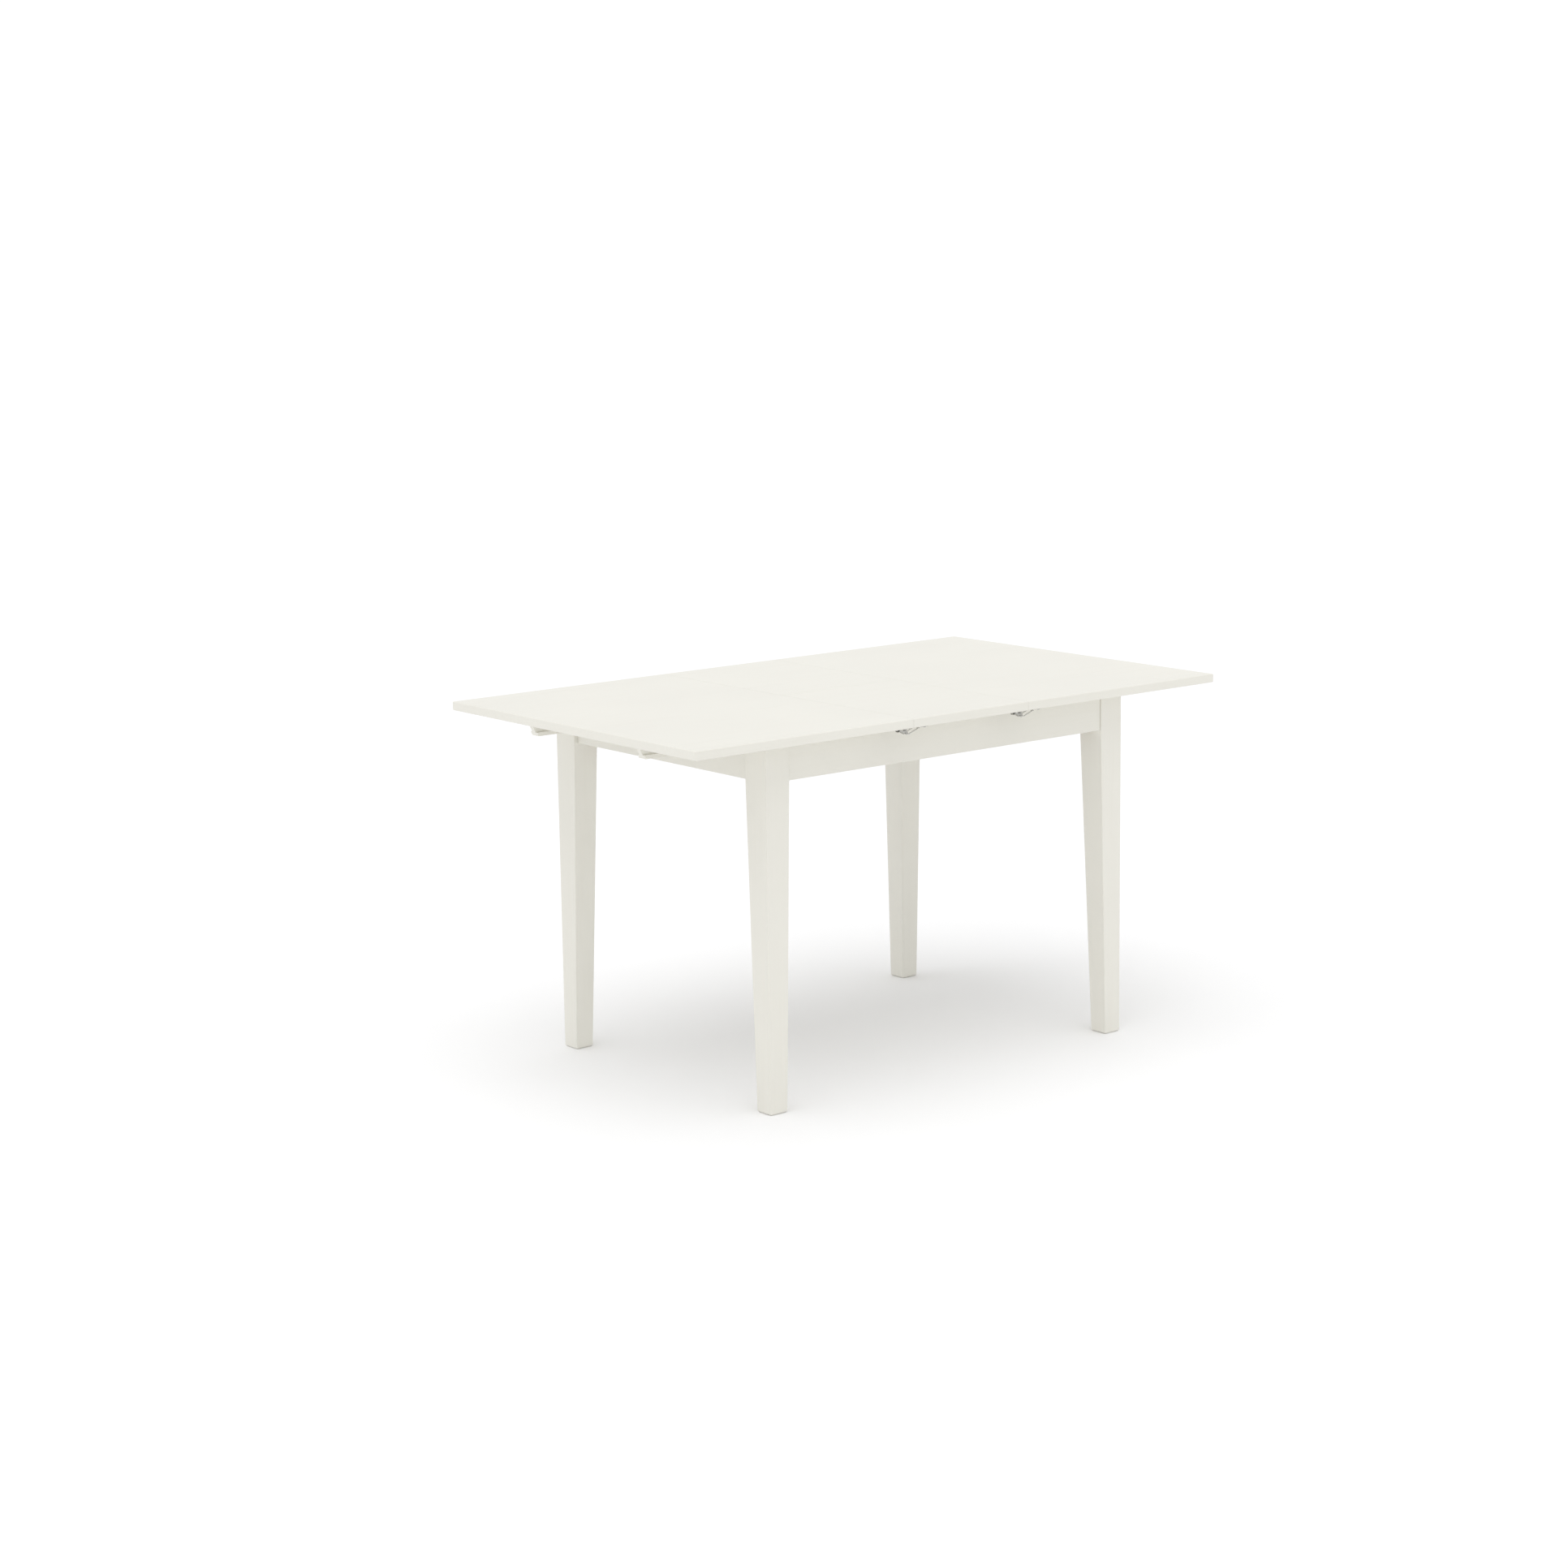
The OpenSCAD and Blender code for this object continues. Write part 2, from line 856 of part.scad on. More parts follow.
// Channel-shaped lever with its pin and a turned-down finger tab.
module lever() {
    hole_radius = wire_radius + hole_play;
    web_half = lever_half - lever_sheet / 2;
    difference() {
        union() {
            for (side = SIDES)
                at_side(side) upright(lever_half - lever_sheet, lever_half) lever_outline();
            upright(-web_half, web_half) lever_web();
            upright(-finger_half, finger_half)
                translate(lever_tip)
                    rotate(finger_turn)
                        translate([0, -lever_sheet / 2])
                            square([finger_length, lever_sheet]);
            lock_pin(lock_pin_radius);
        }
        for (side = SIDES)
            at_side(side)
                translate([bail_pivot[0], lever_half + cut, bail_pivot[1]])
                    rotate([90, 0, 0])
                        cylinder(h = lever_sheet + 2 * cut, r = hole_radius);
    }
}

// Direction from one point of a wire to the next.
function run_way(path, i) = (path[i + 1] - path[i]) / norm(path[i + 1] - path[i]);

// Direction that faces the cut through the wire at a point: square at its ends, mitred at a bend.
function cut_way(path, i) =
    i == 0 ? run_way(path, 0)
    : i == len(path) - 1 ? run_way(path, i - 1)
    : run_way(path, i - 1) + run_way(path, i);

// Ring of points around a wire that sets out along Y, carried on from cut to cut.
function ring(path, i) =
    i == 0
    ? [for (k = [0:wire_sides - 1])
        path[0] + wire_radius * [cos(k * 360 / wire_sides), 0, sin(k * 360 / wire_sides)]]
    : let (way = run_way(path, i - 1), face = cut_way(path, i))
        [for (p = ring(path, i - 1)) p + way * (((path[i] - p) * face) / (way * face))];

// Turns what points up so that it points along a direction.
module facing(way) {
    rotate([0, acos(way[2] / norm(way)), atan2(way[1], way[0])]) children();
}

// Wire along a path: a faceted core with a mitred corner at each bend, and round runs between.
module wire(path) {
    last = len(path) - 1;
    for (i = [1:last - 2])
        translate(path[i] + bend_length * run_way(path, i))
            facing(run_way(path, i))
                cylinder(h = norm(path[i + 1] - path[i]) - 2 * bend_length,
                         r = wire_radius + wire_skin);
    polyhedron(
        points = [for (i = [0:last]) each ring(path, i)],
        faces = [
            [for (k = [0:wire_sides - 1]) k],
            [for (k = [0:wire_sides - 1]) (last + 1) * wire_sides - 1 - k],
            for (i = [0:last - 1], k = [0:wire_sides - 1])
                [
                    i * wire_sides + k,
                    (i + 1) * wire_sides + k,
                    (i + 1) * wire_sides + (k + 1) % wire_sides,
                    i * wire_sides + (k + 1) % wire_sides,
                ],
        ]
    );
}

// Wire bail, bent below the lever's lug and closed by the bar at the keeper.
// Its inner ends reach to end_reach from the middle of the lock.
module bail(end_reach) {
    wire([
        [bail_pivot[0], -end_reach, bail_pivot[1]],
        [bail_pivot[0], -bail_half, bail_pivot[1]],
        [bail_bend[0], -bail_half, bail_bend[1]],
        [bail_hook[0], -bail_half, bail_hook[1]],
        [bail_hook[0], bail_half, bail_hook[1]],
        [bail_bend[0], bail_half, bail_bend[1]],
        [bail_pivot[0], bail_half, bail_pivot[1]],
        [bail_pivot[0], end_reach, bail_pivot[1]],
    ]);
}

// Keeper plate with a tongue that turns down and away from the seam.
module lock_keeper() {
    difference() {
        union() {
            translate([keeper_plate_from, -lock_plate_half, -lock_sheet])
                cube([lock_reach - keeper_plate_from, 2 * lock_plate_half, lock_sheet]);
            upright(-keeper_half, keeper_half)
                polygon([
                    [keeper_tongue, -keeper_root], [keeper_plate_from + cut, -keeper_root],
                    [keeper_plate_from + cut, -lock_sheet],
                    [keeper_tongue + lever_sheet, -lock_sheet],
                    [keeper_tongue + lever_sheet, lever_sheet - keeper_depth],
                    [keeper_tongue + keeper_curl, lever_sheet - keeper_depth],
                    [keeper_tongue + keeper_curl, -keeper_depth],
                    [keeper_tongue, -keeper_depth],
                ]);
        }
        lock_screw_places(1) pan_screw_hole(lock_screw);
    }
}

// ---------------------------------------------------------------- nodes

leg(LEFT, FRONT);  // leg_front_left
leg(RIGHT, FRONT);  // leg_front_right
leg(LEFT, BACK);  // leg_back_left
leg(RIGHT, BACK);  // leg_back_right
side_apron(FRONT);  // apron_front
side_apron(BACK);  // apron_back
end_apron(LEFT);  // apron_left
end_apron(RIGHT);  // apron_right
apron_dowels();
corner_block(LEFT, FRONT);  // corner_block_front_left
corner_block(RIGHT, FRONT);  // corner_block_front_right
corner_block(LEFT, BACK);  // corner_block_back_left
corner_block(RIGHT, BACK);  // corner_block_back_right
leg_bolts();
leg_bolt_washers();
leg_bolt_nuts();
frame_screws();
crossbar(LEFT);  // crossbar_left
crossbar(RIGHT);  // crossbar_right
crossbar_brackets();
pivot_bush(LEFT);  // pivot_bush_left
pivot_bush(RIGHT);  // pivot_bush_right

top_half(LEFT);  // top_left
runner(LEFT, FRONT);  // runner_left_front
runner(LEFT, BACK);  // runner_left_back
stop_blocks(LEFT);  // stop_blocks_left
runner_screws(LEFT);  // runner_screws_left
color("gray") for (side = SIDES) at_lock(LEFT, side) lock_plate();  // lock_plates_left
color("silver") for (side = SIDES) lock_screws_at(LEFT, side, -1);  // lock_screws_left

top_half(RIGHT);  // top_right
runner(RIGHT, FRONT);  // runner_right_front
runner(RIGHT, BACK);  // runner_right_back
stop_blocks(RIGHT);  // stop_blocks_right
runner_screws(RIGHT);  // runner_screws_right
color("gray") for (side = SIDES) at_lock(RIGHT, side) lock_keeper();  // lock_keepers_right
color("silver") for (side = SIDES) lock_screws_at(RIGHT, side, 1);  // lock_screws_right

leaf_front();
pivot_plate(LEFT);  // pivot_plate_left
pivot_plate(RIGHT);  // pivot_plate_right
pivot_plate_screws();
leaf_hinge_front();
color("gray") at_lock(RIGHT, FRONT) lock_plate();  // lock_plate_leaf_front
color("gray") at_lock(LEFT, FRONT) lock_keeper();  // lock_keeper_leaf_front
color("silver") for (end = ENDS) lock_screws_at(end, FRONT, -end);  // lock_screws_leaf_front

leaf_back();
leaf_hinge_back();
color("gray") at_lock(RIGHT, BACK) lock_plate();  // lock_plate_leaf_back
color("gray") at_lock(LEFT, BACK) lock_keeper();  // lock_keeper_leaf_back
color("silver") for (end = ENDS) lock_screws_at(end, BACK, -end);  // lock_screws_leaf_back

color("dimgray") at_lock(LEFT, FRONT) lever();  // lever_front_left
color("dimgray") at_lock(RIGHT, FRONT) lever();  // lever_front_right
color("dimgray") at_lock(LEFT, BACK) lever();  // lever_back_left
color("dimgray") at_lock(RIGHT, BACK) lever();  // lever_back_right
color("dimgray") at_lock(LEFT, FRONT) bail(bail_end_held);  // bail_front_left
color("dimgray") at_lock(RIGHT, FRONT) bail(bail_end_free);  // bail_front_right
color("dimgray") at_lock(LEFT, BACK) bail(bail_end_held);  // bail_back_left
color("dimgray") at_lock(RIGHT, BACK) bail(bail_end_free);  // bail_back_right
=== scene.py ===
"""Looks of the extending dining table with a butterfly leaf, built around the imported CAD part."""

import json
import math

import bmesh
import bpy
from mathutils import Matrix, Vector


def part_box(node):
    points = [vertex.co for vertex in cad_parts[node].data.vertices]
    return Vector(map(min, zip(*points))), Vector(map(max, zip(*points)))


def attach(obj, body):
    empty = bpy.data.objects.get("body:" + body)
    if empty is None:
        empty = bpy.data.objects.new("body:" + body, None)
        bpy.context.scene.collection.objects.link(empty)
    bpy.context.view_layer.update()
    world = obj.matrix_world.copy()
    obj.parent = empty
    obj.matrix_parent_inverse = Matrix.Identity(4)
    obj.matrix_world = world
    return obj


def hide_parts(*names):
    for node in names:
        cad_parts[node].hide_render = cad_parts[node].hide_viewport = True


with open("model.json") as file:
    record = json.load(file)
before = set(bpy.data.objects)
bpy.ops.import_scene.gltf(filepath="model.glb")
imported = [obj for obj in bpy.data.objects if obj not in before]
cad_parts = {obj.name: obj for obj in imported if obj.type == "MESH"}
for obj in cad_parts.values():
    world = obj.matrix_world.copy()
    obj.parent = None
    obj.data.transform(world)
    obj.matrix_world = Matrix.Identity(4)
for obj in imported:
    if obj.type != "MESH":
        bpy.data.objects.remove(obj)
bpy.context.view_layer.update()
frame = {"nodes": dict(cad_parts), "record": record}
NODES = frame["nodes"]

# ---------------------------------------------------------------- materials

# Noise scales, in cycles a metre, and bump depths, in metres
PORES_ALONG, PORES_ACROSS = 3.0, 130.0
BOARD_ALONG, BOARD_ACROSS = 1.2, 9.0
CLOUD_SCALE = 5.0
PEEL_SCALE = 420.0
PORE_DEPTH = 0.00006
PEEL_DEPTH = 0.00003
FIBRE_SCALES = (160.0, 160.0, 9.0)
GROWTH_SCALES = (22.0, 22.0, 3.0)
FIBRE_DEPTH = 0.0002
BRUSHED_SCALES = (60.0, 900.0, 900.0)
METAL_FINE_SCALE = 900.0
NYLON_CLOUD_SCALE = 80.0
NYLON_FINE_SCALE = 700.0
FINE_DEPTH = 0.00002


class Shader:
    """A material's node tree, with short ways to add and join nodes."""

    def __init__(self, name):
        self.material = bpy.data.materials.new(name)
        self.material.use_nodes = True
        self.tree = self.material.node_tree
        self.tree.nodes.clear()
        self.output = self.add("ShaderNodeOutputMaterial")
        self.surface = self.add("ShaderNodeBsdfPrincipled")
        self.join(self.surface.outputs["BSDF"], self.output.inputs["Surface"])
        self.place = self.add("ShaderNodeTexCoord").outputs["Object"]

    def add(self, kind, **values):
        node = self.tree.nodes.new(kind)
        for key, value in values.items():
            setattr(node, key, value)
        return node

    def join(self, source, target):
        self.tree.links.new(source, target)

    def stretched(self, scale):
        """The object's own coordinates, scaled by a different amount along each axis."""
        mapping = self.add("ShaderNodeMapping")
        mapping.inputs["Scale"].default_value = scale
        self.join(self.place, mapping.inputs["Vector"])
        return mapping.outputs["Vector"]

    def noise(self, scale, detail=2.0, roughness=0.5, at=None, distortion=0.0):
        node = self.add("ShaderNodeTexNoise")
        node.inputs["Scale"].default_value = scale
        node.inputs["Detail"].default_value = detail
        node.inputs["Roughness"].default_value = roughness
        node.inputs["Distortion"].default_value = distortion
        self.join(self.place if at is None else at, node.inputs["Vector"])
        return node.outputs["Fac"]

    def span(self, value, low, high, to_low, to_high):
        """value from low..high spread over to_low..to_high."""
        node = self.add("ShaderNodeMapRange")
        node.inputs["From Min"].default_value = low
        node.inputs["From Max"].default_value = high
        node.inputs["To Min"].default_value = to_low
        node.inputs["To Max"].default_value = to_high
        self.join(value, node.inputs["Value"])
        return node.outputs["Result"]

    def ramp(self, value, stops):
        """Colour along value, from (place, colour) stops."""
        node = self.add("ShaderNodeValToRGB")
        band = node.color_ramp
        while len(band.elements) < len(stops):
            band.elements.new(0.5)
        for element, (place, colour) in zip(band.elements, stops):
            element.position = place
            element.color = (*colour, 1.0)
        self.join(value, node.inputs["Fac"])
        return node.outputs["Color"]

    def blend(self, amount, first, second):
        node = self.add("ShaderNodeMix", data_type="RGBA")
        self.join(amount, node.inputs["Factor"])
        self.join(first, node.inputs["A"])
        self.join(second, node.inputs["B"])
        return node.outputs["Result"]

    def multiply(self, first, second):
        node = self.add("ShaderNodeMix", data_type="RGBA", blend_type="MULTIPLY")
        node.inputs["Factor"].default_value = 1.0
        self.join(first, node.inputs["A"])
        self.join(second, node.inputs["B"])
        return node.outputs["Result"]

    def bump(self, height, distance, strength=1.0, under=None):
        node = self.add("ShaderNodeBump")
        node.inputs["Strength"].default_value = strength
        node.inputs["Distance"].default_value = distance
        self.join(height, node.inputs["Height"])
        if under is not None:
            self.join(under, node.inputs["Normal"])
        return node.outputs["Normal"]

    def set(self, **values):
        for name, value in values.items():
            self.surface.inputs[name.replace("_", " ")].default_value = value


def grain_scale(grain, along, across):
    """Noise scale per axis: along the axis named by grain, and across the other two."""
    return [along if axis == grain else across for axis in "XYZ"]


def painted_wood(name, grain):
    """Satin off-white lacquer, sprayed over wood whose grain runs along the axis named by grain."""
    s = Shader(name)
    pores = s.noise(1.0, 4.0, 0.6, s.stretched(grain_scale(grain, PORES_ALONG, PORES_ACROSS)), 0.3)
    board = s.noise(1.0, 2.0, 0.5, s.stretched(grain_scale(grain, BOARD_ALONG, BOARD_ACROSS)))
    cloud = s.noise(CLOUD_SCALE, 3.0, 0.55)
    peel = s.noise(PEEL_SCALE, 2.0, 0.5)
    base = s.ramp(cloud, [(0.30, (0.805, 0.790, 0.722)), (0.70, (0.822, 0.808, 0.742))])
    lines = s.ramp(pores, [(0.34, (0.984, 0.982, 0.976)), (0.50, (1.0, 1.0, 1.0))])
    amount = s.span(board, 0.35, 0.65, 0.2, 1.0)
    tinted = s.blend(amount, base, s.multiply(base, lines))
    s.join(tinted, s.surface.inputs["Base Color"])
    s.join(s.span(cloud, 0.3, 0.7, 0.34, 0.44), s.surface.inputs["Roughness"])
    grain_bump = s.bump(pores, PORE_DEPTH, 0.55)
    s.join(s.bump(peel, PEEL_DEPTH, 0.5, grain_bump), s.surface.inputs["Normal"])
    s.set(Coat_Weight=0.12, Coat_Roughness=0.22, Specular_IOR_Level=0.45)
    return s.material


def bare_hardwood():
    """Unfinished rubberwood, inside the frame."""
    s = Shader("rubberwood")
    fibre = s.noise(1.0, 5.0, 0.65, s.stretched(FIBRE_SCALES), 0.4)
    growth = s.noise(1.0, 3.0, 0.5, s.stretched(GROWTH_SCALES), 0.8)
    pale = s.ramp(growth, [(0.25, (0.50, 0.33, 0.18)), (0.75, (0.66, 0.47, 0.28))])
    flecks = s.ramp(fibre, [(0.35, (0.62, 0.54, 0.46)), (0.55, (1.0, 1.0, 1.0))])
    s.join(s.multiply(pale, flecks), s.surface.inputs["Base Color"])
    s.join(s.span(fibre, 0.3, 0.7, 0.72, 0.58), s.surface.inputs["Roughness"])
    s.join(s.bump(fibre, FIBRE_DEPTH, 0.6), s.surface.inputs["Normal"])
    return s.material


def metal(name, dark, light, rough, cloud_scale, brushed=None):
    """Metal whose tone and gloss drift a little. brushed is the fine noise's scale along each axis."""
    s = Shader(name)
    cloud = s.noise(cloud_scale, 3.0, 0.6)
    at = s.stretched(brushed) if brushed else s.place
    fine = s.noise(1.0 if brushed else METAL_FINE_SCALE, 2.0, 0.5, at)
    s.join(s.ramp(cloud, [(0.3, dark), (0.7, light)]), s.surface.inputs["Base Color"])
    s.join(s.span(cloud, 0.3, 0.7, rough[1], rough[0]), s.surface.inputs["Roughness"])
    s.join(s.bump(fine, FINE_DEPTH, 0.5), s.surface.inputs["Normal"])
    s.set(Metallic=1.0)
    return s.material


def nylon():
    """Natural nylon, off-white and half matt."""
    s = Shader("nylon_white")
    cloud = s.noise(NYLON_CLOUD_SCALE, 2.0, 0.5)
    fine = s.noise(NYLON_FINE_SCALE, 2.0, 0.5)
    s.join(
        s.ramp(cloud, [(0.3, (0.72, 0.71, 0.66)), (0.7, (0.80, 0.79, 0.75))]),
        s.surface.inputs["Base Color"],
    )
    s.join(s.span(fine, 0.3, 0.7, 0.38, 0.5), s.surface.inputs["Roughness"])
    s.join(s.bump(fine, FINE_DEPTH, 0.4), s.surface.inputs["Normal"])
    return s.material


PAINT = {axis: painted_wood(f"painted_grain_{axis.lower()}", axis) for axis in "XYZ"}
RUBBERWOOD = bare_hardwood()
ZINC_PLATE = metal(
    "zinc_sheet", (0.36, 0.355, 0.33), (0.50, 0.495, 0.465), (0.30, 0.46), 90.0, BRUSHED_SCALES
)
ZINC_SCREW = metal("zinc_screw", (0.38, 0.375, 0.35), (0.53, 0.525, 0.495), (0.28, 0.42), 300.0)
STEEL_WIRE = metal("bright_wire", (0.46, 0.455, 0.43), (0.60, 0.595, 0.565), (0.18, 0.30), 220.0)
BRASS = metal("brass_barrel", (0.62, 0.44, 0.17), (0.76, 0.58, 0.27), (0.22, 0.36), 150.0)
NYLON = nylon()

BY_SLOT = {
    "bare_hardwood": RUBBERWOOD,
    "zinc_fasteners": ZINC_SCREW,
    "zinc_plate": ZINC_PLATE,
    "steel_wire": STEEL_WIRE,
    "hinge_brass": BRASS,
    "nylon": NYLON,
}


def grain_axis(node):
    """The axis of a board's grain: along its length, and along the table on the top."""
    if node.startswith(("top_", "leaf_")):
        return "X"
    low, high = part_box(node)
    size = high - low
    return "XYZ"[max(range(3), key=lambda k: size[k])]


def dress(node, obj):
    """Gives a CAD node its material, chosen by the name of the slot that it came with."""
    for slot in obj.material_slots:
        name = slot.material.name.split(".")[0]
        slot.material = PAINT[grain_axis(node)] if name == "painted_wood" else BY_SLOT[name]


for node_name, node_object in NODES.items():
    dress(node_name, node_object)

# ---------------------------------------------------------------- boards with eased arrises

# An arris turns by more than this angle and is longer than this length
SHARP = math.radians(38)
SHORT_EDGE = 0.002
SAME_POINT = 1e-6
ARRIS_SEGMENTS = 3
BODY_OF = {
    node: body for body, nodes in frame["record"]["behaviour"]["bodies"].items() for node in nodes
}
# Width of the rounding, for the nodes whose names begin so
ARRIS_WIDTHS = {
    ("leg_front_", "leg_back_"): 0.0012,
    (
        "apron_front", "apron_back", "apron_left", "apron_right", "crossbar_left", "crossbar_right"
    ): 0.0008,
    ("runner_left_", "runner_right_", "stop_blocks_", "corner_block_"): 0.0006,
    ("top_", "leaf_front", "leaf_back"): 0.0003,
}


def is_arris(edge):
    """Whether an edge is a long convex corner of a board that no hole cuts into."""
    return (
        edge.is_manifold
        and edge.is_convex
        and edge.calc_face_angle() > SHARP
        and edge.calc_length() > SHORT_EDGE
        and not any(
            near.calc_length() < SHORT_EDGE and near.calc_face_angle(0.0) > SHARP
            for end in edge.verts
            for near in end.link_edges
        )
    )


def eased_board(node, width):
    """A CAD board again, with its arrises rounded. Its holes stay as they are."""
    bm = bmesh.new()
    bm.from_mesh(NODES[node].data)
    bmesh.ops.remove_doubles(bm, verts=bm.verts, dist=SAME_POINT)
    for face in bm.faces:
        face.smooth = False
        face.material_index = 0
    arrises = [edge for edge in bm.edges if is_arris(edge)]
    made = bmesh.ops.bevel(
        bm, geom=arrises, offset=width, segments=ARRIS_SEGMENTS, profile=0.5, affect="EDGES"
    )
    for face in made["faces"]:
        face.smooth = True
    low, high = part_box(node)
    for vert in bm.verts:
        vert.co = [min(max(at, least), most) for at, least, most in zip(vert.co, low, high)]
    name = f"board_{node}"
    mesh = bpy.data.meshes.new(name)
    bm.to_mesh(mesh)
    bm.free()
    obj = bpy.data.objects.new(name, mesh)
    obj.data.materials.append(NODES[node].material_slots[0].material)
    bpy.context.scene.collection.objects.link(obj)
    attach(obj, BODY_OF[node])
    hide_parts(node)


for beginnings, arris_width in ARRIS_WIDTHS.items():
    for node_name in NODES:
        if node_name.startswith(beginnings):
            eased_board(node_name, arris_width)

# ---------------------------------------------------------------- bent wire bails

WIRE_RADIUS = 0.0010
# Radius of a bend, at the wire's middle
WIRE_BEND = 0.0019
WIRE_SIDES = 20
# How far a wire's end is eased, as a share of its radius
END_EASE = 0.35
BEND_STEPS = 7
# The longest share of a straight run that one bend may take
RUN_SHARE = 0.45
# Where the bail's lowest bend lies from its pivot
PIVOT_ABOVE_BEND = 0.0016
BEND_BEYOND_PIVOT = 0.0076
# From the bail's middle to each of its inturned ends
INNER_ENDS = {"left": 0.0037, "right": 0.0055}


def rounded(points, radius):
    """The path through points with each corner turned into an arc."""
    path = [points[0]]
    for before, corner, after in zip(points, points[1:], points[2:]):
        a, b = (before - corner).normalized(), (after - corner).normalized()
        half = a.angle(b) / 2
        shorter_run = min((before - corner).length, (after - corner).length)
        reach = min(radius / math.tan(half), RUN_SHARE * shorter_run)
        turn = reach * math.tan(half)
        centre = corner + (a + b).normalized() * (turn / math.sin(half))
        start, end = corner + a * reach - centre, corner + b * reach - centre
        axis = start.cross(end).normalized()
        sweep = start.angle(end)
        for k in range(BEND_STEPS + 1):
            path.append(centre + Matrix.Rotation(sweep * k / BEND_STEPS, 3, axis) @ start)
    path.append(points[-1])
    return path


def stations_along(path, radius):
    """Where a wire's rings go: centre, the way it faces there, and radius, with eased ends."""
    ways = [(b - a).normalized() for a, b in zip(path, path[1:])]
    facing = [ways[0]] + [(a + b).normalized() for a, b in zip(ways, ways[1:])] + [ways[-1]]
    lip = END_EASE * radius
    first, last = facing[0], facing[-1]
    return (
        [(path[0], first, radius - lip), (path[0] + first * lip, first, radius)]
        + [(point, face, radius) for point, face in zip(path[1:-1], facing[1:-1])]
        + [(path[-1] - last * lip, last, radius), (path[-1], last, radius - lip)]
    )


def tube(name, path, radius):
    """A closed round wire along path."""
    bm = bmesh.new()
    angles = [2 * math.pi * k / WIRE_SIDES for k in range(WIRE_SIDES)]
    stations = stations_along(path, radius)
    out = stations[0][1].orthogonal()
    rings = []
    for centre, face, ring_radius in stations:
        out = (out - face * out.dot(face)).normalized()
        turn = face.cross(out)
        spokes = [math.cos(angle) * out + math.sin(angle) * turn for angle in angles]
        rings.append([bm.verts.new(centre + ring_radius * spoke) for spoke in spokes])
    for first, second in zip(rings, rings[1:]):
        for k in range(WIRE_SIDES):
            j = (k + 1) % WIRE_SIDES
            bm.faces.new((first[k], first[j], second[j], second[k]))
    bm.faces.new(list(reversed(rings[0])))
    bm.faces.new(rings[-1])
    bmesh.ops.recalc_face_normals(bm, faces=bm.faces)
    for face in bm.faces:
        face.smooth = len(face.verts) == 4
    mesh = bpy.data.meshes.new(name)
    bm.to_mesh(mesh)
    bm.free()
    obj = bpy.data.objects.new(name, mesh)
    bpy.context.scene.collection.objects.link(obj)
    return obj


def bail(side, end):
    """A lock's wire bail, in its CAD node's box: inturned ends at the pivot, a bar at the hook."""
    node = f"bail_{side}_{end}"
    low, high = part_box(node)
    middle = (low.y + high.y) / 2
    half = (high.y - low.y) / 2 - WIRE_RADIUS
    pivot_x, hook_x = low.x + WIRE_RADIUS, high.x - WIRE_RADIUS
    bend_z, hook_z = low.z + WIRE_RADIUS, high.z - WIRE_RADIUS
    pivot_z = bend_z + PIVOT_ABOVE_BEND
    bend_x = pivot_x + BEND_BEYOND_PIVOT
    end_reach = INNER_ENDS[end]
    points = [
        Vector(p)
        for p in (
            (pivot_x, middle - end_reach, pivot_z),
            (pivot_x, middle - half, pivot_z),
            (bend_x, middle - half, bend_z),
            (hook_x, middle - half, hook_z),
            (hook_x, middle + half, hook_z),
            (bend_x, middle + half, bend_z),
            (pivot_x, middle + half, pivot_z),
            (pivot_x, middle + end_reach, pivot_z),
        )
    ]
    obj = tube(f"wire_{side}_{end}", rounded(points, WIRE_BEND), WIRE_RADIUS)
    obj.data.materials.append(STEEL_WIRE)
    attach(obj, f"{node}_body")
    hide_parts(node)


for lock_side in ("front", "back"):
    for lock_end in ("left", "right"):
        bail(lock_side, lock_end)

# ---------------------------------------------------------------- floor, light and camera


FLOOR_REACH = 60.0


def floor():
    """Plain pale floor, reaching far past the table on every side."""
    s = Shader("studio_floor")
    cloud = s.noise(1.5, 3.0, 0.5)
    s.join(
        s.ramp(cloud, [(0.3, (0.940, 0.940, 0.946)), (0.7, (0.948, 0.948, 0.954))]),
        s.surface.inputs["Base Color"],
    )
    s.join(s.span(cloud, 0.3, 0.7, 0.7, 0.8), s.surface.inputs["Roughness"])
    s.set(Specular_IOR_Level=0.15)
    mesh = bpy.data.meshes.new("floor")
    bm = bmesh.new()
    corners = [(-1, -1), (1, -1), (1, 1), (-1, 1)]
    bm.faces.new([bm.verts.new((x * FLOOR_REACH, y * FLOOR_REACH, 0.0)) for x, y in corners])
    bm.to_mesh(mesh)
    bm.free()
    obj = bpy.data.objects.new("floor", mesh)
    obj.data.materials.append(s.material)
    bpy.context.scene.collection.objects.link(obj)


def overhead(direction, spread, strength):
    """Wide soft light from one direction, even at every height."""
    light = bpy.data.lights.new("overhead", "SUN")
    light.angle = math.radians(spread)
    light.energy = strength
    obj = bpy.data.objects.new("overhead", light)
    obj.rotation_mode = "QUATERNION"
    obj.rotation_quaternion = Vector(direction).to_track_quat("-Z", "Y")
    bpy.context.scene.collection.objects.link(obj)


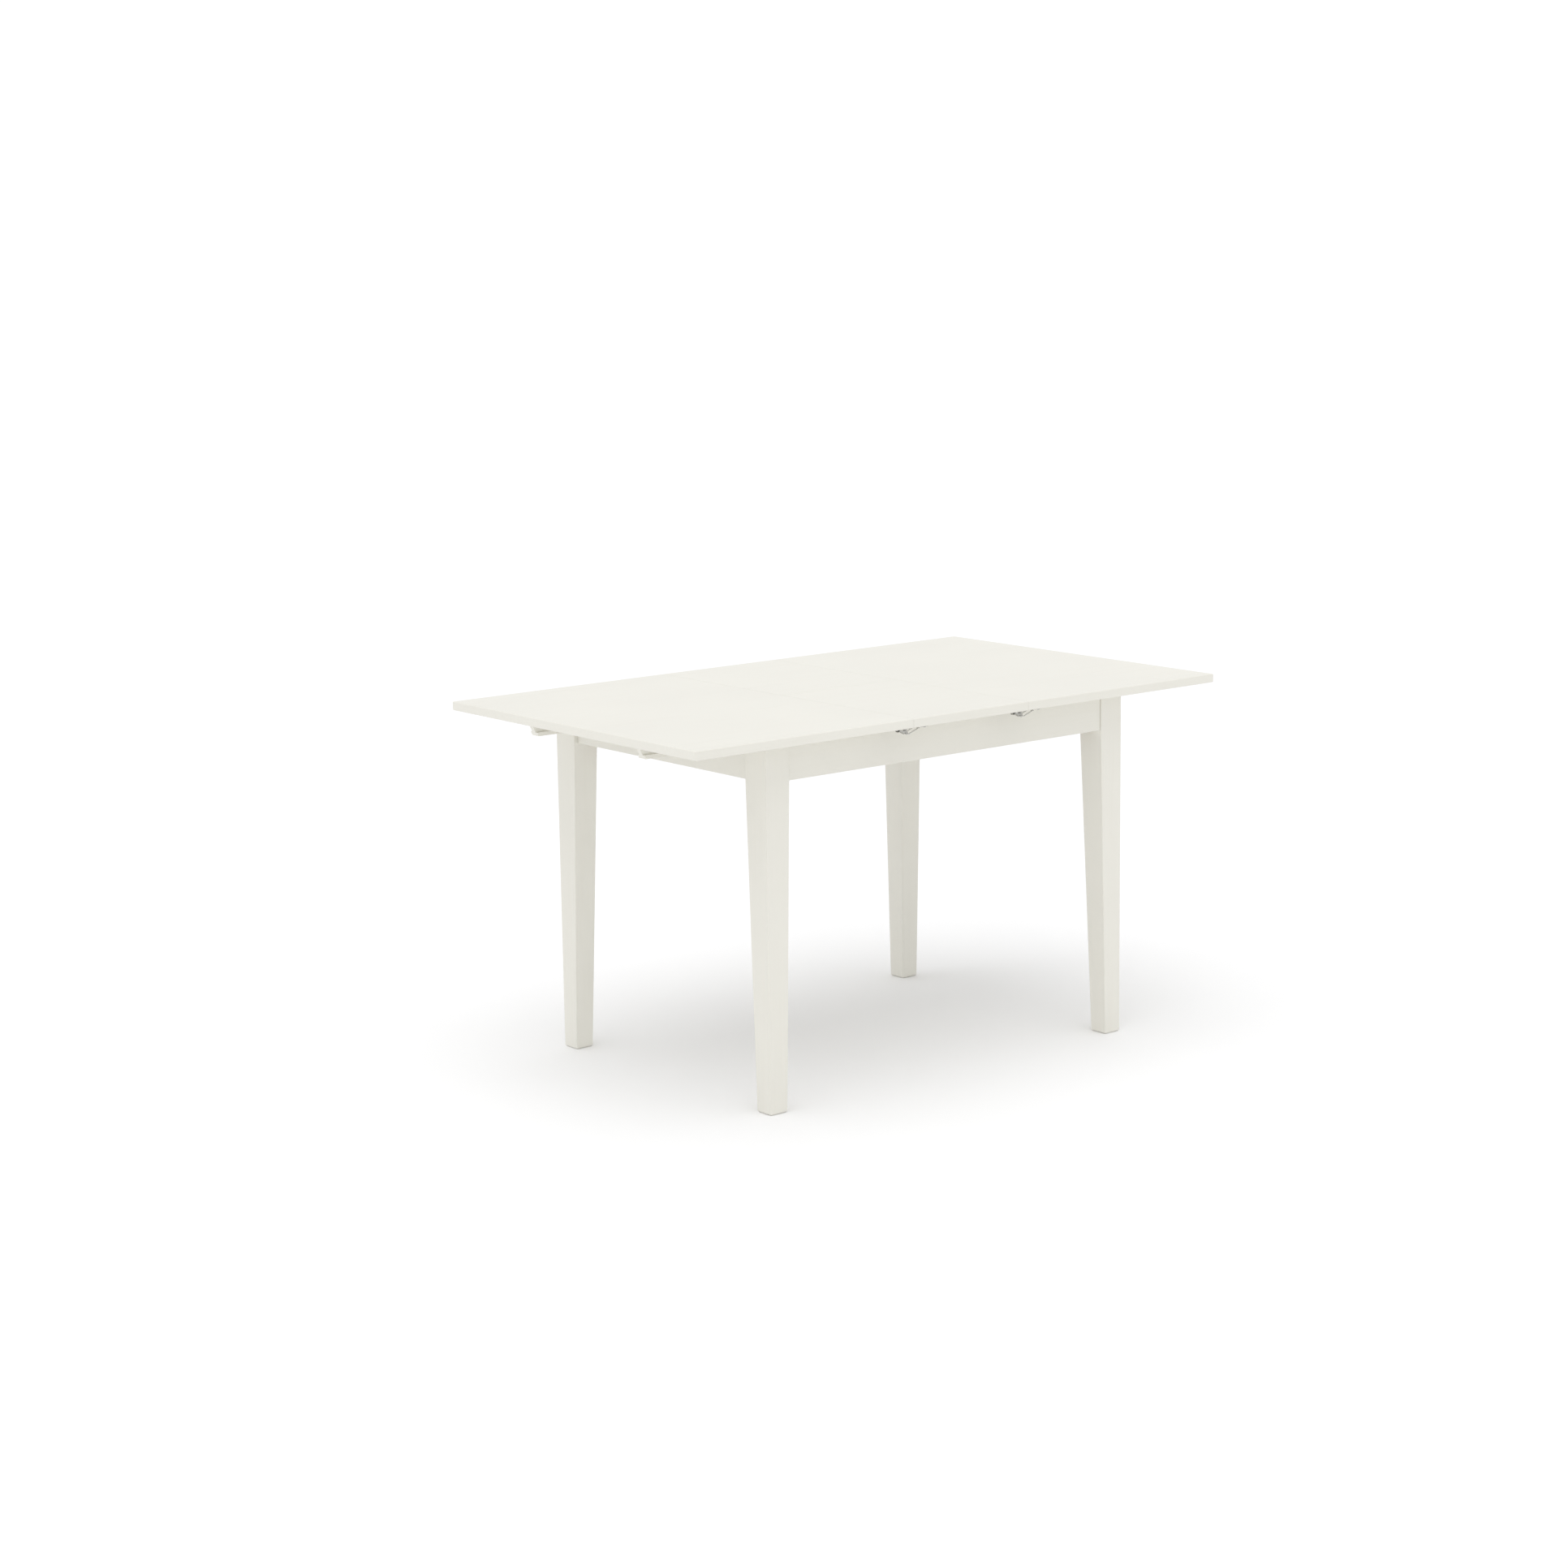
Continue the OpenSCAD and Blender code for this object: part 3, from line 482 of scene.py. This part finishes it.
def studio(shown, cast):
    """White surroundings that show at one strength and light the table at another."""
    world = bpy.data.worlds.new("studio")
    world.use_nodes = True
    tree = world.node_tree
    tree.nodes.clear()
    output = tree.nodes.new("ShaderNodeOutputWorld")
    mix = tree.nodes.new("ShaderNodeMixShader")
    path = tree.nodes.new("ShaderNodeLightPath")
    tree.links.new(path.outputs["Is Camera Ray"], mix.inputs["Fac"])
    for socket, strength in ((1, cast), (2, shown)):
        background = tree.nodes.new("ShaderNodeBackground")
        background.inputs["Color"].default_value = (1.0, 1.0, 1.0, 1.0)
        background.inputs["Strength"].default_value = strength
        tree.links.new(background.outputs["Background"], mix.inputs[socket])
    tree.links.new(mix.outputs["Shader"], output.inputs["Surface"])
    bpy.context.scene.world = world


SENSOR_WIDTH = 36.0
CAMERA_PLACE = Vector((-4.096, -4.903, 1.738))
CAMERA_AZIMUTH = math.radians(38.82)
CAMERA_ELEVATION = math.radians(10.55)
CAMERA_ROLL = math.radians(-0.825)
CAMERA_LENS = 71.67


def camera():
    """Camera at the photograph's viewing angle."""
    data = bpy.data.cameras.new("camera")
    data.sensor_width = SENSOR_WIDTH
    data.lens = CAMERA_LENS
    data.clip_start, data.clip_end = 0.05, 500.0
    obj = bpy.data.objects.new("camera", data)
    a, e = CAMERA_AZIMUTH, CAMERA_ELEVATION
    ahead = Vector((math.sin(a) * math.cos(e), math.cos(a) * math.cos(e), -math.sin(e)))
    right = ahead.cross(Vector((0.0, 0.0, 1.0))).normalized()
    up = right.cross(ahead)
    c, s = math.cos(CAMERA_ROLL), math.sin(CAMERA_ROLL)
    right, up = c * right + s * up, c * up - s * right
    turn = Matrix((right, up, -ahead)).transposed()
    obj.matrix_world = Matrix.Translation(CAMERA_PLACE) @ turn.to_4x4()
    bpy.context.scene.collection.objects.link(obj)
    bpy.context.scene.camera = obj


floor()
studio(shown=1.05, cast=0.82)
overhead((0.22, 0.16, -1.0), spread=60.0, strength=1.0)
camera()
bpy.context.scene.view_settings.view_transform = "Standard"
